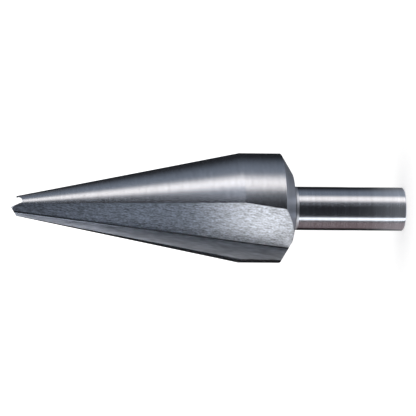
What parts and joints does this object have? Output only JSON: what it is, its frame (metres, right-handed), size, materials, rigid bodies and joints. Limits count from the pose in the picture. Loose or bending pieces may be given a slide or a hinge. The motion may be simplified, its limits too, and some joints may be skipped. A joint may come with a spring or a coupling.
{
  "type": "conical drill",
  "caption": "Conical drill for tube and sheet: tapered head with straight V flutes and a gashed point, short cylindrical band, rear chamfer and plain round shank.",
  "frame": {"origin": "centre of the flat end of the shank, on the surface that the drill stands on", "axes": "+Z along the drill's axis, from the shank end to the point; -Y the side that one flute opens on; +X the side of the point that the gash takes away"},
  "size_m": [0.0202, 0.02, 0.0727],
  "materials": {
    "ground_steel": "ground bright high-speed steel, with fine grinding lines round the lands and along the flutes"
  },
  "bodies": {
    "root": {"conical_drill": "ground_steel"}
  },
  "joints": []
}
